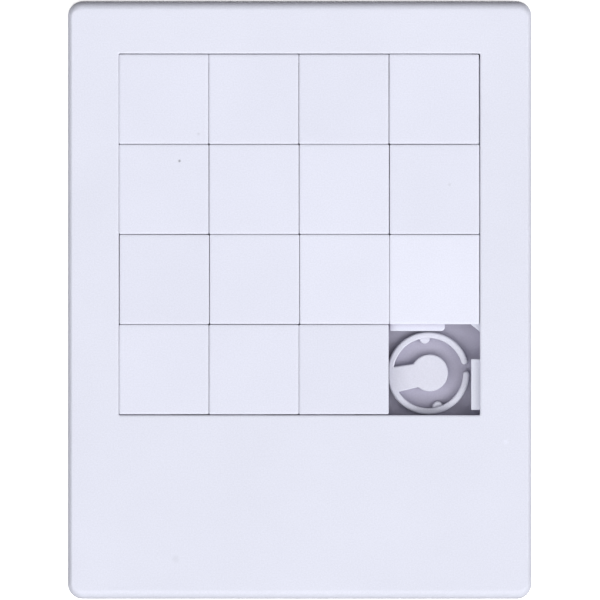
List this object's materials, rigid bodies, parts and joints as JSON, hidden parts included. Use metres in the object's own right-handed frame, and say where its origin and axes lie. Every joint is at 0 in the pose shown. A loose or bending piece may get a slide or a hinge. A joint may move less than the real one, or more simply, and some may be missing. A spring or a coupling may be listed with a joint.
{
  "type": "sliding tile puzzle",
  "caption": "Flat sliding tile puzzle: a moulded frame with square interlocking blank tiles, an open cell and a split ring in it.",
  "frame": {"origin": "middle of the outline, on the underside of the back plate, where the puzzle rests", "axes": "+X across the puzzle to the right of a person looking at the tiles, +Y towards the frame's top edge, +Z out of the tiles' faces"},
  "size_m": [0.0772, 0.0996, 0.005],
  "materials": {
    "frame_plastic": "satin cool-white injection moulding, fine grain",
    "back_plastic": "satin cool-white injection moulding, fine grain",
    "tile_plastic": "satin cool-white injection moulding, slightly smoother than the frame",
    "ring_plastic": "satin cool-white injection moulding, smooth"
  },
  "bodies": {
    "tray": {"front_frame": "frame_plastic", "back_plate": "back_plastic"},
    "ring_insert": {"split_ring_insert": "ring_plastic"},
    "tile_r1_c1_body": {"tile_r1_c1": "tile_plastic"},
    "tile_r1_c2_body": {"tile_r1_c2": "tile_plastic"},
    "tile_r1_c3_body": {"tile_r1_c3": "tile_plastic"},
    "tile_r1_c4_body": {"tile_r1_c4": "tile_plastic"},
    "tile_r2_c1_body": {"tile_r2_c1": "tile_plastic"},
    "tile_r2_c2_body": {"tile_r2_c2": "tile_plastic"},
    "tile_r2_c3_body": {"tile_r2_c3": "tile_plastic"},
    "tile_r2_c4_body": {"tile_r2_c4": "tile_plastic"},
    "tile_r3_c1_body": {"tile_r3_c1": "tile_plastic"},
    "tile_r3_c2_body": {"tile_r3_c2": "tile_plastic"},
    "tile_r3_c3_body": {"tile_r3_c3": "tile_plastic"},
    "tile_r3_c4_body": {"tile_r3_c4": "tile_plastic"},
    "tile_r4_c1_body": {"tile_r4_c1": "tile_plastic"},
    "tile_r4_c2_body": {"tile_r4_c2": "tile_plastic"},
    "tile_r4_c3_body": {"tile_r4_c3": "tile_plastic"}
  },
  "joints": [
    {"name": "column_4_push", "type": "slide", "parent": "tray", "child": "tile_r3_c4_body", "axis": [0, -1, 0], "range_m": [0, 0.01502]},
    {"name": "insert_lift_out", "type": "slide", "parent": "tray", "child": "ring_insert", "axis": [0, 0, 1], "range_m": [0, 0.02]},
    {"name": "row_4_push", "type": "slide", "parent": "tray", "child": "tile_r4_c3_body", "axis": [-1, 0, 0], "range_m": [-0.01502, 0]},
    {"name": "column_4_follow_r2", "type": "slide", "parent": "tray", "child": "tile_r2_c4_body", "axis": [0, -1, 0], "range_m": [0, 0.01502]},
    {"name": "column_4_follow_r1", "type": "slide", "parent": "tray", "child": "tile_r1_c4_body", "axis": [0, -1, 0], "range_m": [0, 0.01502]},
    {"name": "row_4_follow_c2", "type": "slide", "parent": "tray", "child": "tile_r4_c2_body", "axis": [-1, 0, 0], "range_m": [-0.01502, 0]},
    {"name": "row_4_follow_c1", "type": "slide", "parent": "tray", "child": "tile_r4_c1_body", "axis": [-1, 0, 0], "range_m": [-0.01502, 0]},
    {"name": "tile_r1_c1_play", "type": "slide", "parent": "tray", "child": "tile_r1_c1_body", "axis": [1, 0, 0], "range_m": [-0.00003, 0.00005]},
    {"name": "tile_r1_c2_play", "type": "slide", "parent": "tray", "child": "tile_r1_c2_body", "axis": [1, 0, 0], "range_m": [-0.00005, 0.00005]},
    {"name": "tile_r1_c3_play", "type": "slide", "parent": "tray", "child": "tile_r1_c3_body", "axis": [1, 0, 0], "range_m": [-0.00005, 0.00005]},
    {"name": "tile_r2_c1_play", "type": "slide", "parent": "tray", "child": "tile_r2_c1_body", "axis": [1, 0, 0], "range_m": [-0.00003, 0.00005]},
    {"name": "tile_r2_c2_play", "type": "slide", "parent": "tray", "child": "tile_r2_c2_body", "axis": [1, 0, 0], "range_m": [-0.00005, 0.00005]},
    {"name": "tile_r2_c3_play", "type": "slide", "parent": "tray", "child": "tile_r2_c3_body", "axis": [1, 0, 0], "range_m": [-0.00005, 0.00005]},
    {"name": "tile_r3_c1_play", "type": "slide", "parent": "tray", "child": "tile_r3_c1_body", "axis": [1, 0, 0], "range_m": [-0.00003, 0.00005]},
    {"name": "tile_r3_c2_play", "type": "slide", "parent": "tray", "child": "tile_r3_c2_body", "axis": [1, 0, 0], "range_m": [-0.00005, 0.00005]},
    {"name": "tile_r3_c3_play", "type": "slide", "parent": "tray", "child": "tile_r3_c3_body", "axis": [1, 0, 0], "range_m": [-0.00005, 0.00005]}
  ],
  "couplings": [
    {"joint": "column_4_follow_r2", "follows": "column_4_push", "ratio": 1},
    {"joint": "column_4_follow_r1", "follows": "column_4_push", "ratio": 1},
    {"joint": "row_4_follow_c2", "follows": "row_4_push", "ratio": 1},
    {"joint": "row_4_follow_c1", "follows": "row_4_push", "ratio": 1}
  ]
}
